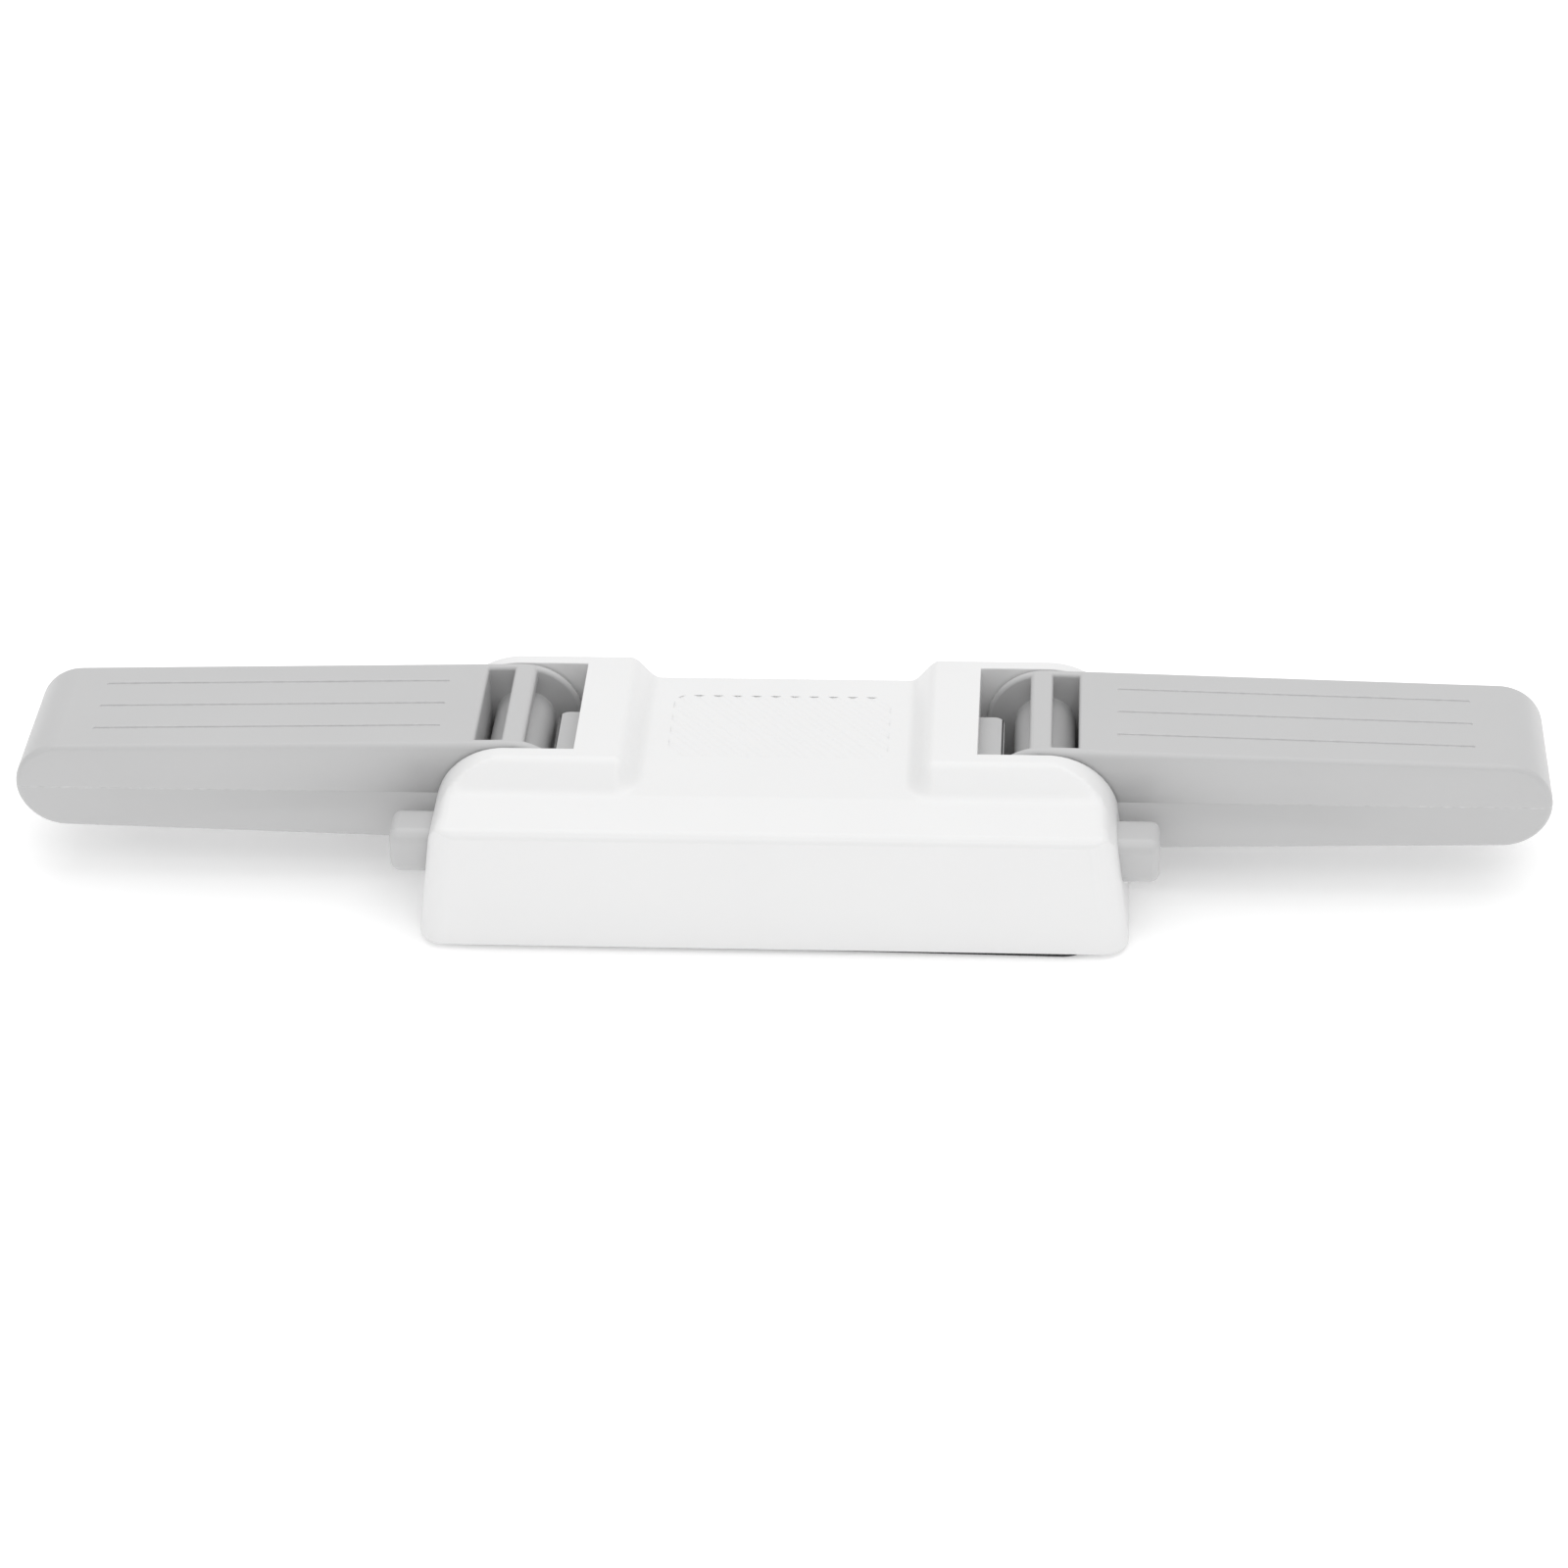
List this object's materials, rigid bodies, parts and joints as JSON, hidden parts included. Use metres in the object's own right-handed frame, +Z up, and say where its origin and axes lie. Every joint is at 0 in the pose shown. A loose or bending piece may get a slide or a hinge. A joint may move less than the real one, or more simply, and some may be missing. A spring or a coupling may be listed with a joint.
{
  "type": "stair gate latch",
  "caption": "Moulded base with a folding arm hinged at each end, a push button in each end that frees the arm, a hatched saddle and a stick-on pad below.",
  "frame": {"origin": "centre of the latch's underside: midway between its ends and between the front and back of the base, on the bottom face of the stick-on pad", "axes": "+X along the latch towards the right-hand arm, +Y away from the user, towards the side where the arms lie, +Z up, away from the surface that the base is stuck to"},
  "size_m": [0.22, 0.0418, 0.0241],
  "materials": {
    "white_housing": "smooth semi-gloss white moulding",
    "white_cover": "satin white moulding",
    "grey_arm": "smooth semi-gloss light grey moulding",
    "grey_button": "smooth light grey moulding",
    "foam_pad": "dark grey adhesive foam sheet",
    "screw_steel": "zinc-plated steel",
    "pin_steel": "ground steel",
    "spring_steel": "drawn spring wire"
  },
  "bodies": {
    "base": {"base_housing": "white_housing", "base_cover": "white_cover", "foot_pad": "foam_pad", "cover_screw_1": "screw_steel", "cover_screw_2": "screw_steel", "cover_screw_3": "screw_steel", "cover_screw_4": "screw_steel", "pivot_pin_left": "pin_steel", "pivot_pin_right": "pin_steel", "button_spring_left": "spring_steel", "button_spring_right": "spring_steel"},
    "arm_left": {"arm_shell_left": "grey_arm", "arm_cover_left": "grey_arm", "arm_screw_left_1": "screw_steel", "arm_screw_left_2": "screw_steel"},
    "arm_right": {"arm_shell_right": "grey_arm", "arm_cover_right": "grey_arm", "arm_screw_right_1": "screw_steel", "arm_screw_right_2": "screw_steel"},
    "button_left": {"release_button_left": "grey_button", "latch_tongue_left": "grey_button"},
    "button_right": {"release_button_right": "grey_button", "latch_tongue_right": "grey_button"}
  },
  "joints": [
    {"name": "arm_left_swing", "type": "hinge", "parent": "base", "child": "arm_left", "pos_m": [-0.0381, 0.00668, 0.01565], "axis": [0, 1, 0], "range_deg": [0, 90], "deforming": ["latch_tongue_left"]},
    {"name": "arm_right_swing", "type": "hinge", "parent": "base", "child": "arm_right", "pos_m": [0.0381, 0.00668, 0.01565], "axis": [0, -1, 0], "range_deg": [0, 90], "deforming": ["latch_tongue_right"]},
    {"name": "button_left_press", "type": "slide", "parent": "base", "child": "button_left", "axis": [1, 0, 0], "range_m": [0, 0.0038], "stiffness_N_per_m": 300, "springref_m": -0.004, "deforming": ["button_spring_left"]},
    {"name": "button_right_press", "type": "slide", "parent": "base", "child": "button_right", "axis": [-1, 0, 0], "range_m": [0, 0.0038], "stiffness_N_per_m": 300, "springref_m": -0.004, "deforming": ["button_spring_right"]}
  ]
}
